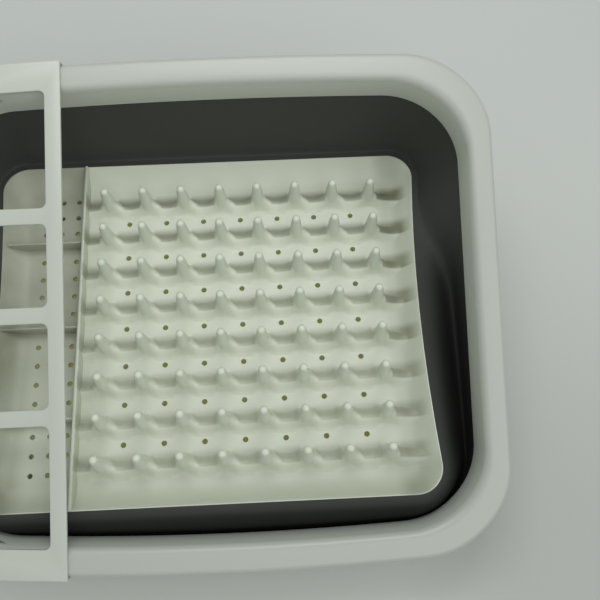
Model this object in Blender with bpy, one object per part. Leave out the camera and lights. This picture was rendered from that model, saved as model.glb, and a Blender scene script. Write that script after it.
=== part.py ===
"""Collapsible dish drying rack, far side popped up and near side folded down.

Metres, +Z up, +X along the rack, the front at -Y. The tray, the flexible wall, the rim and
the cutlery grid are built about the tray's centre, and moved at the end so that the origin
is the middle of the underside.
"""

import math

import bmesh
import bpy
from mathutils import Matrix, Vector

# Clearances and overruns
gap = 0.0003
overrun = 0.002

# Tray floor and raised edge
trayLength = 0.282
trayWidth = 0.2336
trayCorner = 0.017
endBow = 0.0043
floorHeight = 0.041
floorThick = 0.0022
edgeRise = 0.011
coveWidth = 0.015
lipWidth = 0.0018
lipDrop = 0.007
floorCorner = 0.009

# Skirt below the tray, and its feet
skirtWall = 0.0022
skirtTaper = 0.0065
skirtSetback = 0.0006
skirtBevel = 0.0015
footHeight = 0.004
footWidth = 0.016
footInset = 0.030

# Pegs, ridges and drain holes
pegRows = 8
pegColumns = 8
pegSideSpace = 0.01075
pegEndSpace = 0.00995
pegHeight = 0.0268
pegTip = 0.0026
pegMiddle = 0.0036
pegFootLong = 0.0086
pegFootWide = 0.0060
ridgeHeight = 0.0046
ridgeCrest = 0.0014
ridgeForward = 0.0028
ridgeNearFoot = 0.0092
ridgeFarFoot = 0.0036
drainHole = 0.0036

# Cutlery bay
bayLength = 0.0566
dividerSpace = 0.01585
dividerHeight = 0.01275
dividerThick = 0.0020
partitionShift = 0.0017
partitionHeight = 0.0102
partitionThick = 0.0016
bayHole = 0.0034
bayFirstColumn = 0.0069
bayLastColumn = 0.0070
bayRowEnd = 0.0059
bayRowShift = 0.0010
middleRowSpace = 0.0112
endRowSpace = 0.0098

# Rim, a channel open below
rimEndFlare = 0.038
rimSideFlare = 0.0375
rimCorner = 0.052
rimInnerCorner = 0.047
bandFront = 0.0172
bandEnd = 0.0152
rimDepth = 0.0305
rimSkirtDepth = 0.020
rimWall = 0.0022
rimRound = 0.0016
rimBowMiddle = 0.020
rimNearBow = 0.0083
rimFarBow = 0.0051
rimBowBegin = 0.070
rimBowFull = 0.140

# Heights of the rim's top over the tray floor, and the stored state between them
openRise = 0.0940
foldedRise = 0.0153
nearRise = 0.0102
restShift = -0.0092
restTilt = math.radians(16.8)

# Flexible wall
wallThick = 0.0018
shelfWidth = 0.0054
foldDrop = 0.0396

# Cutlery grid
gridOverDivider = 0.0018
gridThick = 0.0026
strutWidth = 0.0102
gridBar = 0.0097
gridEndBar = 0.0180
gridLeftBar = 0.0170
gridBarShift = 0.0012
gridLip = 0.0012
gridLipDepth = 0.0080
windowRound = 0.0036
windowCorner = 0.032

# Facets
cornerSteps = 6
endSteps = 6
sideSteps = 6
coveSteps = 4
pegSides = 8
holeSides = 8

# Peg outline, as shares of its height and of the way from middle to foot radius
pegHeightShares = (0.0, 0.08, 0.24, 0.50, 0.92, 1.0)
pegFlareShares = (1.0, 0.50, 0.14, 0.0, 0.0, 0.0)
pegTipShares = (0.0, 0.0, 0.0, 0.15, 1.0, 1.0)
pegDomeShares = (1.0, 1.0, 1.0, 1.0, 1.0, 0.45)

# Where the fold begins and where it is fully formed, as shares of the tray's width from its far side
foldBeginShare = 0.12
foldFullShare = 0.42

# Places that follow from these
bayRows = 4
bayEndRows = 3
bayColumns = 3
flatX = trayLength / 2 - endBow - lipWidth - coveWidth
flatY = trayWidth / 2 - lipWidth - coveWidth
dividerPlace = bayLength - trayLength / 2
firstPeg = dividerPlace + dividerSpace
lastPeg = flatX - pegEndSpace
pitchAlong = (lastPeg - firstPeg) / (pegColumns - 1)
pitchAcross = 2 * (flatY - pegSideSpace) / (pegRows - 1)
partitionPitch = trayWidth / 4 + partitionShift
rimLength = trayLength + 2 * rimEndFlare
rimWidth = trayWidth + 2 * rimSideFlare
restRise = nearRise + math.sin(restTilt) * rimWidth / 2
gridRight = dividerPlace + gridOverDivider

white = ("white_plastic", (0.74, 0.77, 0.70, 1.0), 0.42)
rimWhite = ("rim_plastic", (0.76, 0.80, 0.75, 1.0), 0.38)
darkRubber = ("dark_rubber", (0.030, 0.034, 0.031, 1.0), 0.62)
footRubber = ("foot_rubber", (0.35, 0.36, 0.35, 1.0), 0.7)


def clearScene():
    for old in list(bpy.data.objects):
        bpy.data.objects.remove(old, do_unlink=True)


def material(finish):
    name, colour, roughness = finish
    made = bpy.data.materials.get(name) or bpy.data.materials.new(name)
    made.use_nodes = True
    shader = made.node_tree.nodes["Principled BSDF"]
    shader.inputs["Base Color"].default_value = colour
    shader.inputs["Roughness"].default_value = roughness
    shader.inputs["Metallic"].default_value = 0.0
    return made


def newObject(name, mesh, finish):
    part = bpy.data.objects.new(name, mesh)
    bpy.context.scene.collection.objects.link(part)
    mesh.materials.append(material(finish))
    return part


def fromPoints(name, points, faces, finish):
    mesh = bpy.data.meshes.new(name)
    mesh.from_pydata([tuple(p) for p in points], [], faces)
    mesh.validate()
    work = bmesh.new()
    work.from_mesh(mesh)
    bmesh.ops.recalc_face_normals(work, faces=work.faces)
    work.to_mesh(mesh)
    work.free()
    return newObject(name, mesh, finish)


def outline(halfLength, halfWidth, radius, bow=0.0):
    """Closed loop of a rounded rectangle, anticlockwise from the middle of the right end.
    Its two short ends bow inwards by bow at their middles."""
    points = []
    straight = halfWidth - radius
    signs = ((1, 1), (-1, 1), (-1, -1), (1, -1))
    for quarter, (signX, signY) in enumerate(signs):
        centre = Vector((signX * (halfLength - radius), signY * (halfWidth - radius)))
        start = quarter * math.pi / 2
        for step in range(cornerSteps + 1):
            angle = start + step * math.pi / 2 / cornerSteps
            points.append(centre + radius * Vector((math.cos(angle), math.sin(angle))))
        if quarter in (1, 3):
            for step in range(1, endSteps):
                share = 1 - 2 * step / endSteps
                y = share * straight * signY
                inward = bow * (1 - share * share)
                points.append(Vector((signX * (halfLength - inward), y)))
        else:
            for step in range(1, sideSteps):
                share = 1 - 2 * step / sideSteps
                points.append(Vector((share * (halfLength - radius) * signX, signY * halfWidth)))
    return points


def sweep(name, loops, finish):
    """Closed ring: loops of equal length, joined in order, the last to the first."""
    count = len(loops[0])
    points = [p for loop in loops for p in loop]
    faces = []
    for k in range(len(loops)):
        after = (k + 1) % len(loops)
        for i in range(count):
            j = (i + 1) % count
            faces.append((k * count + i, k * count + j, after * count + j, after * count + i))
    return fromPoints(name, points, faces, finish)


def prism(name, corners, low, high, finish):
    """Upright prism over a flat outline."""
    count = len(corners)
    points = [Vector((p[0], p[1], z)) for z in (low, high) for p in corners]
    faces = [tuple(range(count))[::-1], tuple(range(count, 2 * count))]
    for i in range(count):
        j = (i + 1) % count
        faces.append((i, j, count + j, count + i))
    return fromPoints(name, points, faces, finish)


def joined(name, parts, finish):
    """One object that holds the separate solids of several."""
    work = bmesh.new()
    for part in parts:
        work.from_mesh(part.data)
        bpy.data.objects.remove(part, do_unlink=True)
    mesh = bpy.data.meshes.new(name)
    work.to_mesh(mesh)
    work.free()
    return newObject(name, mesh, finish)


def cut(part, cutter):
    boolean = part.modifiers.new("cut_" + cutter.name, "BOOLEAN")
    boolean.operation = "DIFFERENCE"
    boolean.object = cutter
    boolean.solver = "EXACT"
    cutter.hide_render = True
    cutter.display_type = "WIRE"


def union(part, added):
    boolean = part.modifiers.new("join_" + added.name, "BOOLEAN")
    boolean.operation = "UNION"
    boolean.object = added
    boolean.solver = "EXACT"
    added.hide_render = True
    added.display_type = "WIRE"


def smooth(part, degrees=35):
    part.data.shade_smooth()
    part.data.set_sharp_from_angle(angle=math.radians(degrees))


def round_(corners, radius, steps):
    """Flat outline whose corners are rounded, each with its own radius."""
    rounded = []
    count = len(corners)
    for i, corner in enumerate(corners):
        before, after = corners[i - 1], corners[(i + 1) % count]
        inward = (before - corner).normalized()
        outward = (after - corner).normalized()
        centre = corner + (inward + outward) * radius[i]
        for step in range(steps + 1):
            angle = step * math.pi / 2 / steps
            rounded.append(centre - outward * radius[i] * math.cos(angle)
                           - inward * radius[i] * math.sin(angle))
    return rounded


# Tray: floor, cove and lip

def trayLoop(inset, radius, height):
    loop = outline(trayLength / 2 - inset, trayWidth / 2 - inset, radius, endBow)
    return [Vector((p.x, p.y, height)) for p in loop]


def coveRadius(inset):
    share = inset / (lipWidth + coveWidth)
    return trayCorner + (floorCorner - trayCorner) * share


def buildTray():
    top = floorHeight + edgeRise
    reach = lipWidth + coveWidth
    upper, lower = [], []
    for step in range(coveSteps + 1):
        angle = step * math.pi / 2 / coveSteps
        inset = reach - coveWidth * math.sin(angle)
        upper.append(trayLoop(inset, coveRadius(inset), top - edgeRise * math.cos(angle)))
    for step in range(coveSteps - 1):
        angle = step * math.pi / 2 / coveSteps
        inset = reach - (coveWidth + floorThick) * math.sin(angle)
        fall = (edgeRise + floorThick) * math.cos(angle)
        lower.append(trayLoop(inset, coveRadius(inset), top - fall))
    edge = trayLoop(0.0, trayCorner, top)
    under = trayLoop(0.0, trayCorner, top - lipDrop)
    underInner = trayLoop(lipWidth, coveRadius(lipWidth), top - lipDrop)
    loops = upper + [edge, under, underInner] + lower[::-1]
    count = len(loops[0])
    points = [p for loop in loops for p in loop]
    faces = []
    for k in range(len(loops) - 1):
        for i in range(count):
            j = (i + 1) % count
            faces.append((k * count + i, k * count + j, (k + 1) * count + j, (k + 1) * count + i))
    faces.append(tuple(range(count)))
    last = (len(loops) - 1) * count
    faces.append(tuple(range(last, last + count))[::-1])
    tray = fromPoints("base_tray", points, faces, white)
    cut(tray, drainCutter())
    smooth(tray)
    return tray


def partitionPlaces():
    return (partitionPitch, 0.0, -partitionPitch)


def bayHoleRows():
    """Distances of the bay's hole rows from the middle, on one side."""
    pitch = (partitionPitch - 2 * middleRowSpace) / (bayRows - 1)
    rows = [middleRowSpace + pitch * k for k in range(bayRows)]
    first = partitionPitch + endRowSpace
    pitch = (flatY - bayRowEnd - first) / (bayEndRows - 1)
    return rows + [first + pitch * k for k in range(bayEndRows)]


def drainCutter():
    places = []
    for row in range(pegRows - 1):
        for column in range(pegColumns - 1):
            x = firstPeg + (column + 1 / 2) * pitchAlong
            y = (row + 1 - pegRows / 2) * pitchAcross
            places.append((x, y, drainHole / 2))
    first = dividerPlace - bayFirstColumn
    pitch = (flatX - bayLastColumn + first) / (bayColumns - 1)
    for column in range(bayColumns):
        x = first - column * pitch
        for distance in bayHoleRows():
            places.append((x, bayRowShift + distance, bayHole / 2))
            places.append((x, bayRowShift - distance, bayHole / 2))
    low, high = floorHeight - floorThick - overrun, floorHeight + overrun
    pins = []
    for x, y, radius in places:
        ring = [Vector((x + radius * math.cos(a), y + radius * math.sin(a)))
                for a in (2 * math.pi * (k + 0.5) / holeSides for k in range(holeSides))]
        pins.append(prism("pin", ring, low, high, white))
    return joined("drain_cutter", pins, white)


def buildSkirt():
    top = floorHeight + edgeRise - lipDrop - gap
    outerTop = trayLoop(skirtSetback, trayCorner, top)
    outerFoot = trayLoop(skirtTaper, trayCorner - skirtTaper / 2, footHeight + gap)
    innerFoot = trayLoop(skirtTaper + skirtWall, trayCorner - skirtTaper, footHeight + gap)
    # the skirt's inner top corner is lower, to stay clear of the cove's underside
    innerTop = trayLoop(skirtSetback + skirtWall, trayCorner - skirtWall, top - skirtBevel)
    skirt = sweep("base_skirt", [outerTop, outerFoot, innerFoot, innerTop], white)
    smooth(skirt)


def buildFeet():
    reachX = trayLength / 2 - footInset
    reachY = trayWidth / 2 - skirtTaper - skirtWall / 2
    for number, (signX, signY) in enumerate(((1, 1), (-1, 1), (-1, -1), (1, -1))):
        x, y = signX * reachX, signY * (reachY - footWidth / 4)
        half = footWidth / 2
        corners = [Vector((x - half, y - half / 2)), Vector((x + half, y - half / 2)),
                   Vector((x + half, y + half / 2)), Vector((x - half, y + half / 2))]
        prism(f"foot_{number + 1}", round_(corners, [half / 2.2] * 4, 3), 0.0, footHeight, footRubber)


# Pegs and ridges

def pegRadii(level):
    """Half-lengths of the peg's round section along X and Y at one level of its outline."""
    slim = pegMiddle + (pegTip - pegMiddle) * pegTipShares[level]
    flare = pegFlareShares[level]
    dome = pegDomeShares[level]
    along = (slim + (pegFootLong - slim) * flare) * dome
    across = (slim + (pegFootWide - slim) * flare) * dome
    return along, across


def pegPoints(x, y):
    points = []
    for level, share in enumerate(pegHeightShares):
        z = floorHeight + gap + (pegHeight - gap) * share
        along, across = pegRadii(level)
        for k in range(pegSides):
            angle = 2 * math.pi * (k + 0.5) / pegSides
            points.append(Vector((x + along * math.cos(angle), y + across * math.sin(angle), z)))
    return points


def rowY(row):
    return ((pegRows - 1) / 2 - row) * pitchAcross


def ridgeSpan():
    return dividerPlace + dividerThick / 2 + gap, flatX - gap


def ridgeSection(y):
    """Corners of a ridge across the row, whose crest lies a little in front of the pegs."""
    crest = ridgeCrest / 2
    base = floorHeight + gap
    middle = y - ridgeForward
    return [(y - ridgeNearFoot, base), (y + ridgeFarFoot, base),
            (middle + crest, base + ridgeHeight), (middle - crest, base + ridgeHeight)]


def bar(name, section, left, right, finish):
    points = [Vector((x, y, z)) for x in (left, right) for y, z in section]
    count = len(section)
    faces = [tuple(range(count))[::-1], tuple(range(count, 2 * count))]
    for i in range(count):
        j = (i + 1) % count
        faces.append((i, j, count + j, count + i))
    return fromPoints(name, points, faces, finish)


def buildPegRow(row):
    y = rowY(row)
    pegs = []
    for column in range(pegColumns):
        x = firstPeg + column * pitchAlong
        points = pegPoints(x, y)
        faces = [tuple(range(pegSides))[::-1]]
        for level in range(len(pegHeightShares) - 1):
            for k in range(pegSides):
                n = (k + 1) % pegSides
                a, b = level * pegSides, (level + 1) * pegSides
                faces.append((a + k, a + n, b + n, b + k))
        top = (len(pegHeightShares) - 1) * pegSides
        faces.append(tuple(range(top, top + pegSides)))
        pegs.append(fromPoints("peg", points, faces, white))
    allPegs = joined(f"pegs_{row + 1}", pegs, white)
    left, right = ridgeSpan()
    pegRow = bar(f"peg_row_{row + 1}", ridgeSection(y), left, right, white)
    union(pegRow, allPegs)
    smooth(pegRow, 50)


# Cutlery bay

def coveProfile(flat, clearance):
    """Distances from the middle and heights along the cove, seen from inside it."""
    profile = []
    for step in range(coveSteps + 1):
        angle = step * math.pi / 2 / coveSteps
        distance = flat + (coveWidth - clearance) * math.sin(angle)
        profile.append((distance, edgeRise * (1 - math.cos(angle))))
    return profile


def slab(name, section, thick, place, alongX):
    """Upright plate from its outline, thin along X or along Y."""
    count = len(section)
    points = []
    for side in (-thick / 2, thick / 2):
        for distance, z in section:
            if alongX:
                points.append(Vector((distance, place + side, z)))
            else:
                points.append(Vector((place + side, distance, z)))
    faces = [tuple(range(count)), tuple(range(count, 2 * count))[::-1]]
    for i in range(count):
        j = (i + 1) % count
        faces.append((i, count + i, count + j, j))
    return fromPoints(name, points, faces, white)


def buildBay():
    base = floorHeight + gap
    cove = [(y, base + z) for y, z in coveProfile(flatY, gap)]
    # at both ends the divider stands a little over the tray's edge
    half = cove + [(cove[-1][0], base + dividerHeight)]
    section = half + [(-y, z) for y, z in half[::-1]]
    slab("cutlery_divider", section, dividerThick, dividerPlace, False)

    right = dividerPlace - dividerThick / 2 - gap
    share = math.acos(1 - partitionHeight / edgeRise)
    end = -flatX - (coveWidth - gap) * math.sin(share)
    low = [(-x, base + z) for x, z in coveProfile(flatX, gap) if z < partitionHeight]
    section = [(right, base + partitionHeight), (end, base + partitionHeight)]
    section += low[::-1] + [(right, base)]
    for number, y in enumerate(partitionPlaces()):
        slab(f"partition_{number + 1}", section, partitionThick, y, True)


# Rim and the stored tilt

def rimPlace():
    """Turns rim coordinates (length, width, height over the rim's top) into the rack's."""
    move = Matrix.Translation((0.0, restShift, floorHeight + restRise))
    return move @ Matrix.Rotation(restTilt, 4, "X")


def sideBow(point):
    """The rim's long sides are bowed: widest near the middle, narrower towards the ends."""
    away = (point.x - rimBowMiddle) / (rimLength / 2)
    fall = away * away * (rimNearBow if point.y < 0 else rimFarBow)
    share = (abs(point.y) - rimBowBegin) / (rimBowFull - rimBowBegin)
    fall *= min(1.0, max(0.0, share))
    return Vector((point.x, point.y - math.copysign(fall, point.y)))


def rimLoop(inset, drop):
    """Loop of the rim at a distance in from its outer face and below its top."""
    share = inset / bandFront
    halfLength = rimLength / 2 - share * bandEnd
    halfWidth = rimWidth / 2 - inset
    radius = rimCorner + (rimInnerCorner - rimCorner) * share
    place = rimPlace()
    loop = [sideBow(p) for p in outline(halfLength, halfWidth, radius)]
    return [place @ Vector((p.x, p.y, -drop)) for p in loop]


def buildRim():
    inner = bandFront
    section = [
        (0.0, rimSkirtDepth), (0.0, rimRound), (rimRound, 0.0), (inner - rimRound, 0.0),
        (inner, rimRound), (inner, rimDepth), (inner - rimWall, rimDepth),
        (inner - rimWall, rimWall), (rimWall, rimWall), (rimWall, rimSkirtDepth),
    ]
    rim = sweep("rim_frame", [rimLoop(inset, drop) for inset, drop in section], rimWhite)
    smooth(rim)


# Flexible wall: a lower fold that hinges on the tray, and an upper wall below the rim

def foldShare(point):
    """0 at the far side, which is popped open, and 1 at the near side, which is folded."""
    return (trayWidth / 2 - point.y) / trayWidth


def wallStations():
    """For each station round the tray: its edge point, outward direction and fold line."""
    edge = trayLoop(0.0, trayCorner, floorHeight + edgeRise)
    rimEnd = rimLoop(bandFront, rimDepth)
    stations = []
    for start, end in zip(edge, rimEnd):
        out = Vector((end.x - start.x, end.y - start.y, 0.0)).normalized()
        share = foldShare(start)
        # the fold runs out from the shelf, sinking as it goes, until it lies below the rim's inner foot
        opened = min(1.0, max(0.0, (share - foldBeginShare) / (foldFullShare - foldBeginShare)))
        opened *= opened * (3 - 2 * opened)
        reach = Vector((end.x - start.x, end.y - start.y, 0.0)).length
        run = shelfWidth + (reach - shelfWidth) * opened
        rise = (end.z - start.z) * opened * (1 - opened) - foldDrop * share * opened
        fold = start + out * run + Vector((0.0, 0.0, rise))
        stations.append((start, out, fold))
    return stations


def buildLowerFold():
    tops, foldTops, foldUnders, unders = [], [], [], []
    for start, out, fold in wallStations():
        run = (fold - start).dot(out)
        fall = start.z - fold.z
        slope = math.atan2(fall, run)
        face = (out * math.sin(slope) + Vector((0.0, 0.0, math.cos(slope)))) * wallThick
        first = start + out * gap
        first += out * wallThick * abs(math.sin(slope))
        tops.append(first)
        foldTops.append(fold)
        # where the fold stands higher than the tray's edge, its underside ends below its top
        foldUnders.append(fold - (face if slope > 0 else Vector((0.0, 0.0, face.z))))
        unders.append(first - face)
    lower = sweep("lower_fold", [tops, foldTops, foldUnders, unders], darkRubber)
    smooth(lower)


def buildUpperWall():
    innerTop = rimLoop(bandFront, rimDepth + gap)
    outerTop = rimLoop(bandFront - wallThick, rimDepth + gap)
    innerFoot, innerLow, outerLow, outerFoot = [], [], [], []
    for (start, out, fold), top in zip(wallStations(), innerTop):
        low = fold + out * gap
        rise = top - low
        slope = math.atan2(rise.z, rise.dot(out))
        face = (out * math.sin(slope) - Vector((0.0, 0.0, math.cos(slope)))) * wallThick
        foot = Vector((0.0, 0.0, wallThick))
        innerFoot.append(low - foot)
        innerLow.append(low)
        outerLow.append(low + face)
        outerFoot.append(low + out * wallThick - foot)
    loops = [innerFoot, innerLow, innerTop, outerTop, outerLow, outerFoot]
    upper = sweep("upper_wall", loops, darkRubber)
    smooth(upper)


# Cutlery grid, hooked over the rim at the left

def gridOutline(inset, right):
    """Loop round the left end of the rim, closed by a straight edge at the right."""
    half = outline(rimLength / 2 - inset, rimWidth / 2 - inset, rimCorner - inset)
    left = [p for p in half if p.x < right]
    far = rimWidth / 2 - inset
    return [sideBow(p) for p in [Vector((right, far))] + left + [Vector((right, -far))]]


def windowOutlines():
    """Far to near: the four openings, as corner lists with their radii."""
    right = gridRight - strutWidth
    left = -rimLength / 2 + gridLeftBar
    end = rimWidth / 2 + gap + gridLip - gridEndBar
    bars = [partitionPitch, gridBarShift, gridBarShift - partitionPitch]
    tops = [end] + [y - gridBar / 2 for y in bars]
    lows = [y + gridBar / 2 for y in bars] + [-end]
    shapes = []
    for number, (top, low) in enumerate(zip(tops, lows)):
        corners = [Vector((right, low)), Vector((right, top)), Vector((left, top)), Vector((left, low))]
        radii = [windowRound] * 4
        if number == 0:
            radii[2] = windowCorner
        if number == 3:
            radii[3] = windowCorner
        shapes.append(round_(corners, radii, 3))
    return shapes


def buildGrid():
    outer = -(gap + gridLip)
    plate = prism("cutlery_grid", gridOutline(outer, gridRight), gap, gap + gridThick, rimWhite)
    windows = [prism("window", shape, gap - overrun, gap + gridThick + overrun, rimWhite)
               for shape in windowOutlines()]
    cutter = joined("window_cutter", windows, rimWhite)
    # the lip hangs from the plate's edge, outside the rim's outer face
    lipOuter = gridOutline(outer, gridRight)
    lipInner = gridOutline(-gap, gridRight)
    lip = prism("lip", lipOuter, -gridLipDepth, gap + gridThick / 2, rimWhite)
    core = prism("lip_core", lipCore(lipInner), -gridLipDepth - overrun, gap, rimWhite)
    cut(lip, core)
    union(plate, lip)
    cut(plate, cutter)
    smooth(plate)
    return [plate, cutter, lip, core]


def lipCore(inner):
    """The lip's inner outline, run past the grid's right edge so that it is open there."""
    core = list(inner)
    core[0] = core[0] + Vector((overrun, 0.0))
    core[-1] = core[-1] + Vector((overrun, 0.0))
    return core


def pivotFor(centre):
    """The point about which the rim turns from its stored tilt to level at centre."""
    start = Vector((restShift, restRise))
    move = centre - start
    middle = (start + centre) / 2
    side = Vector((move.y, -move.x)).normalized()
    return middle + side * (move.length / 2 / math.tan(restTilt / 2))


def empty(name, place):
    mark = bpy.data.objects.new(name, None)
    bpy.context.scene.collection.objects.link(mark)
    mark.matrix_world = place
    return mark


def attach(child, parent):
    bpy.context.view_layer.update()
    world = child.matrix_world.copy()
    child.parent = parent
    child.matrix_parent_inverse = parent.matrix_world.inverted()
    child.matrix_world = world


def centreOnUnderside():
    """Moves everything so that the origin is the middle of the underside of its box."""
    bpy.context.view_layer.update()
    graph = bpy.context.evaluated_depsgraph_get()
    corners = []
    for part in bpy.context.scene.objects:
        if part.type == "MESH" and not part.hide_render:
            shown = part.evaluated_get(graph)
            corners += [shown.matrix_world @ v.co for v in shown.data.vertices]
    low = Vector([min(c[axis] for c in corners) for axis in range(3)])
    high = Vector([max(c[axis] for c in corners) for axis in range(3)])
    shift = Vector((-(low.x + high.x) / 2, -(low.y + high.y) / 2, -low.z))
    for part in bpy.context.scene.objects:
        if part.parent is None:
            part.location += shift
    bpy.context.view_layer.update()


def main():
    clearScene()
    buildTray()
    buildSkirt()
    buildFeet()
    for row in range(pegRows):
        buildPegRow(row)
    buildBay()
    buildRim()
    buildLowerFold()
    buildUpperWall()
    gridParts = buildGrid()
    place = rimPlace()
    for part in gridParts:
        part.matrix_world = place

    # the axes on which the wall, the rim and the grid move
    level = floorHeight
    far = pivotFor(Vector((0.0, openRise)))
    near = pivotFor(Vector((0.0, foldedRise)))
    riseAxis = empty("near_rise_axis", Matrix.Translation((0.0, far.x, level + far.y)))
    foldAxis = empty("far_fold_axis", Matrix.Translation((0.0, near.x, level + near.y)))
    attach(foldAxis, riseAxis)
    attach(bpy.data.objects["upper_wall"], riseAxis)
    attach(bpy.data.objects["rim_frame"], foldAxis)
    for part in gridParts:
        attach(part, foldAxis)
    centreOnUnderside()


main()
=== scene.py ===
import math

import bpy
from mathutils import Matrix, Vector
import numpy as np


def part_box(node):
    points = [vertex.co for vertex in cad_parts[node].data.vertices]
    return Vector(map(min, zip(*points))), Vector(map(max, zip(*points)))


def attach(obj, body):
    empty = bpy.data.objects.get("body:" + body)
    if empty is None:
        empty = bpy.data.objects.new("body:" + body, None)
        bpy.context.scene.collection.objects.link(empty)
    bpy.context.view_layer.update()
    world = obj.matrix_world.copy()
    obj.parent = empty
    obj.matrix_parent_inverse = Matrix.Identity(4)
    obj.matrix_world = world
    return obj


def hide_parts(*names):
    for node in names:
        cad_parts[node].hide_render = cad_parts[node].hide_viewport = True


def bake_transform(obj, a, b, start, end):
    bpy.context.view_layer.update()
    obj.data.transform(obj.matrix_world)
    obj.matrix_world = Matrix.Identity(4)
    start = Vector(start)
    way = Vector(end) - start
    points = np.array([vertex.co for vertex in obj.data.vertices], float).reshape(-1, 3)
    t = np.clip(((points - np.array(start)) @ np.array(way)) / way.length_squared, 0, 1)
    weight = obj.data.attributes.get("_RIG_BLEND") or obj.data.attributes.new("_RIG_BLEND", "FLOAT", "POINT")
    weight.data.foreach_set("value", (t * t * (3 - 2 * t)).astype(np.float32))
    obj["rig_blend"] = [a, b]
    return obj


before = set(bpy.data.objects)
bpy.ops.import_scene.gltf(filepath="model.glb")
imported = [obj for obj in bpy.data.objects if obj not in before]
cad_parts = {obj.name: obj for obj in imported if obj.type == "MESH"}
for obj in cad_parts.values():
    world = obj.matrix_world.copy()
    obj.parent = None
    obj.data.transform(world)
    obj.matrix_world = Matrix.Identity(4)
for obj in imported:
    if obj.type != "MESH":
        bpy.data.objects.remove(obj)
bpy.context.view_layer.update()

print("frame loaded")


# A shader socket that takes part in Python expressions
class Wire:
    def __init__(self, paint, socket):
        self.paint = paint
        self.socket = socket

    def maths(self, operation, a, b):
        return self.paint.node("ShaderNodeMath", {"operation": operation}, {0: a, 1: b})

    def __add__(self, other):
        return self.maths("ADD", self, other)

    def __radd__(self, other):
        return self.maths("ADD", other, self)

    def __sub__(self, other):
        return self.maths("SUBTRACT", self, other)

    def __rsub__(self, other):
        return self.maths("SUBTRACT", other, self)

    def __mul__(self, other):
        return self.maths("MULTIPLY", self, other)

    def __rmul__(self, other):
        return self.maths("MULTIPLY", other, self)

    def __truediv__(self, other):
        return self.maths("DIVIDE", self, other)

    def __pow__(self, other):
        return self.maths("POWER", self, other)


class Paint:
    grainDepth = 0.0005

    def __init__(self, name):
        self.material = bpy.data.materials.new(name)
        self.material.use_nodes = True
        self.tree = self.material.node_tree
        self.shader = self.tree.nodes["Principled BSDF"]

    def node(self, kind, settings=None, values=None, output=0):
        made = self.tree.nodes.new(kind)
        for key, value in (settings or {}).items():
            setattr(made, key, value)
        for key, value in (values or {}).items():
            self.feed(made.inputs[key], value)
        return Wire(self, made.outputs[output])

    def feed(self, socket, value):
        if isinstance(value, Wire):
            self.tree.links.new(value.socket, socket)
        else:
            socket.default_value = value

    def place(self):
        return self.node("ShaderNodeTexCoord", output="Object")

    # How far a point lies from origin along the X, Y or Z axis
    def along(self, axis, origin=0.0):
        return self.node("ShaderNodeSeparateXYZ", None, {0: self.place()}, output=axis) - origin

    def noise(self, scale, detail):
        return self.node("ShaderNodeTexNoise", None, {
            "Vector": self.place(), "Scale": scale, "Detail": detail})

    # Inputs 6 and 7 of this node are its two colours, and output 2 is the mixed one
    def blend(self, factor, first, second):
        return self.node("ShaderNodeMix", {"data_type": "RGBA"}, {
            0: factor, 6: first, 7: second}, output=2)

    # From 0 at start to 1 at end, smoothly, where start may be the greater of the two
    def fade(self, value, start, end):
        return self.node("ShaderNodeMapRange", {"interpolation_type": "SMOOTHSTEP"}, {
            0: value, 1: start, 2: end, 3: 0.0, 4: 1.0})

    def maths(self, operation, value):
        return self.node("ShaderNodeMath", {"operation": operation}, {0: value})

    def finish(self, colour, roughness, grain=None, strength=0.0):
        self.feed(self.shader.inputs["Base Color"], colour)
        self.feed(self.shader.inputs["Roughness"], roughness)
        if grain is not None:
            normal = self.node("ShaderNodeBump", None, {
                "Strength": strength, "Distance": self.grainDepth, "Height": grain})
            self.feed(self.shader.inputs["Normal"], normal)
        return self.material


# Small modelling helpers
def unit(value):
    return min(1, max(0, value))


# From 0 to 1 with a soft start and end
def smooth(value):
    share = unit(value)
    return share * share * (3 - 2 * share)


def between(limits, share):
    return limits[0] + (limits[1] - limits[0]) * share


def freshStart():
    if bpy.context.object and bpy.context.object.mode != "OBJECT":
        bpy.ops.object.mode_set(mode="OBJECT")
    bpy.ops.object.select_all(action="DESELECT")


def pick(piece):
    freshStart()
    piece.select_set(True)
    bpy.context.view_layer.objects.active = piece


def editAll(piece):
    pick(piece)
    bpy.ops.object.mode_set(mode="EDIT")
    bpy.ops.mesh.select_mode(type="VERT")
    bpy.ops.mesh.select_all(action="SELECT")


def objectMode():
    bpy.ops.object.mode_set(mode="OBJECT")


def applyPlace(piece):
    pick(piece)
    bpy.ops.object.transform_apply(location=True, rotation=True, scale=True)


def joinAll(pieces, name):
    freshStart()
    for piece in pieces:
        piece.select_set(True)
    bpy.context.view_layer.objects.active = pieces[0]
    bpy.ops.object.join()
    made = bpy.context.object
    made.name = name
    return made


def copyPiece(piece, name):
    made = piece.copy()
    made.data = piece.data.copy()
    made.name = name
    bpy.context.scene.collection.objects.link(made)
    return made


def moveMesh(piece, x, y, z):
    piece.data.transform(Matrix.Translation((x, y, z)))


def raiseFaces(height):
    bpy.ops.mesh.extrude_region_move(TRANSFORM_OT_translate={"value": (0, 0, height)})


def applyModifier(piece, kind, **settings):
    pick(piece)
    modifier = piece.modifiers.new("step", kind)
    for key, value in settings.items():
        setattr(modifier, key, value)
    bpy.ops.object.modifier_apply(modifier=modifier.name)


# The middle point of a rounding lies this share of its radius inside both faces
roundMiddle = 0.3


def roundEdges(piece, width):
    applyModifier(piece, "BEVEL", width=width, segments=3, limit_method="ANGLE", angle_limit=0.9)


def cutWith(piece, cutter, operation="DIFFERENCE"):
    applyModifier(piece, "BOOLEAN", operation=operation, object=cutter, solver="EXACT")
    bpy.data.objects.remove(cutter, do_unlink=True)


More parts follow.
